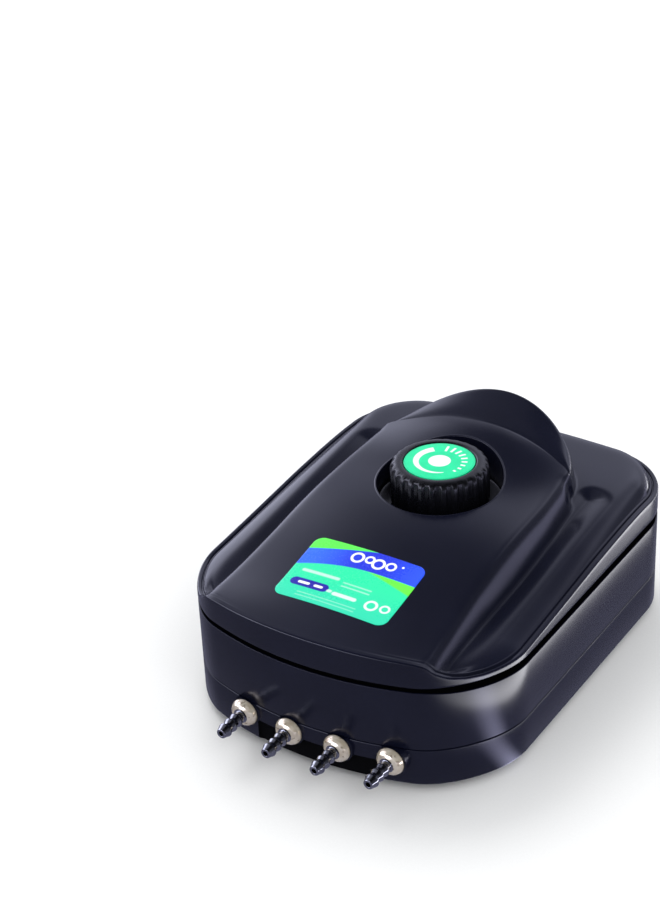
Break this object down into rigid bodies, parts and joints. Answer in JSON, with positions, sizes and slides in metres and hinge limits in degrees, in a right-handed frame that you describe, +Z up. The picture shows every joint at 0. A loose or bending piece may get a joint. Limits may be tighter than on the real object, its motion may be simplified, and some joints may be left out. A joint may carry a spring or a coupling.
{
  "type": "air pump",
  "caption": "Mains diaphragm air pump with barbed air outlets and a turning output control, in a rounded plastic casing on rubber feet.",
  "frame": {"origin": "centre of the whole object's outline, on the plane the rubber feet stand on", "axes": "+Z up, +Y towards the cord at the rear (the air outlets face -Y), +X to the right seen from the outlet side"},
  "size_m": [0.145, 0.2364, 0.0873],
  "materials": {
    "casing_plastic": "satin moulding, very dark blue-black",
    "dark_moulding": "fine grain",
    "dial_green": "printed disc, satin",
    "label_film": "printed film, satin",
    "nickel": "nickel plate, warm tint",
    "rubber": "matt",
    "silicone": "milky",
    "steel": "zinc plated",
    "core_iron": "laminated, oiled",
    "magnet": "plated",
    "copper": "enamelled wire",
    "natural_nylon": "natural",
    "grey_moulding": "fine grain",
    "board_green": "solder mask",
    "felt": "needled felt"
  },
  "bodies": {
    "casing": {"air_manifold": "dark_moulding", "base_pan": "casing_plastic", "board_capacitor": "natural_nylon", "casing_gasket": "rubber", "casing_screw_front_left": "steel", "casing_screw_front_right": "steel", "casing_screw_rear_left": "steel", "casing_screw_rear_right": "steel", "coil_bobbin": "natural_nylon", "coil_winding": "copper", "control_board": "board_green", "cord_grommet": "rubber", "core_strap": "steel", "filter_cover": "dark_moulding", "filter_pad": "felt", "foot_front_left": "rubber", "foot_front_right": "rubber", "foot_rear_left": "rubber", "foot_rear_right": "rubber", "label_sticker": "label_film", "left_air_hose": "silicone", "left_diaphragm": "rubber", "left_head_cover": "dark_moulding", "left_pivot_pin": "steel", "left_pump_head": "dark_moulding", "left_valve_plate": "natural_nylon", "magnet_core": "core_iron", "middle_housing": "casing_plastic", "motor_chassis": "natural_nylon", "outlet_nozzle_1": "nickel", "outlet_nozzle_2": "nickel", "outlet_nozzle_3": "nickel", "outlet_nozzle_4": "nickel", "potentiometer_body": "grey_moulding", "potentiometer_nut": "steel", "power_cord": "rubber", "right_air_hose": "silicone", "right_diaphragm": "rubber", "right_head_cover": "dark_moulding", "right_pivot_pin": "steel", "right_pump_head": "dark_moulding", "right_valve_plate": "natural_nylon", "strap_screw_front": "steel", "strap_screw_rear": "steel", "top_cover": "casing_plastic"},
    "knob": {"control_knob": "dark_moulding", "knob_dial_disc": "dial_green", "potentiometer_shaft": "natural_nylon"},
    "right_arm": {"right_rocker_arm": "grey_moulding", "right_arm_magnet": "magnet", "right_pivot_bush": "rubber", "right_diaphragm_clamp": "steel"},
    "left_arm": {"left_rocker_arm": "grey_moulding", "left_arm_magnet": "magnet", "left_pivot_bush": "rubber", "left_diaphragm_clamp": "steel"},
    "right_intake_valve": {"right_intake_flap": "rubber"},
    "right_exhaust_valve": {"right_exhaust_flap": "rubber"},
    "left_intake_valve": {"left_intake_flap": "rubber"},
    "left_exhaust_valve": {"left_exhaust_flap": "rubber"}
  },
  "joints": [
    {"name": "knob_turn", "type": "hinge", "parent": "casing", "child": "knob", "pos_m": [0, 0.0059, 0.064], "axis": [0, 0, 1], "range_deg": [-140, 140]},
    {"name": "right_arm_rock", "type": "hinge", "parent": "casing", "child": "right_arm", "pos_m": [0.0258, -0.036, 0.027], "axis": [0, 0, 1], "range_deg": [-1.3, 1.3], "deforming": ["right_diaphragm"]},
    {"name": "left_arm_rock", "type": "hinge", "parent": "casing", "child": "left_arm", "pos_m": [-0.0258, -0.036, 0.027], "axis": [0, 0, 1], "range_deg": [-1.3, 1.3], "deforming": ["left_diaphragm"]},
    {"name": "right_intake_open", "type": "hinge", "parent": "casing", "child": "right_intake_valve", "pos_m": [0.0416, 0.008, 0.0346], "axis": [0, 1, 0], "range_deg": [0, 9]},
    {"name": "right_exhaust_open", "type": "hinge", "parent": "casing", "child": "right_exhaust_valve", "pos_m": [0.0455, -0.004, 0.0346], "axis": [0, -1, 0], "range_deg": [0, 9]},
    {"name": "left_intake_open", "type": "hinge", "parent": "casing", "child": "left_intake_valve", "pos_m": [-0.0416, 0.008, 0.0346], "axis": [0, -1, 0], "range_deg": [0, 9]},
    {"name": "left_exhaust_open", "type": "hinge", "parent": "casing", "child": "left_exhaust_valve", "pos_m": [-0.0455, -0.004, 0.0346], "axis": [0, 1, 0], "range_deg": [0, 9]}
  ],
  "couplings": [
    {"joint": "left_arm_rock", "follows": "right_arm_rock", "ratio": -1}
  ]
}
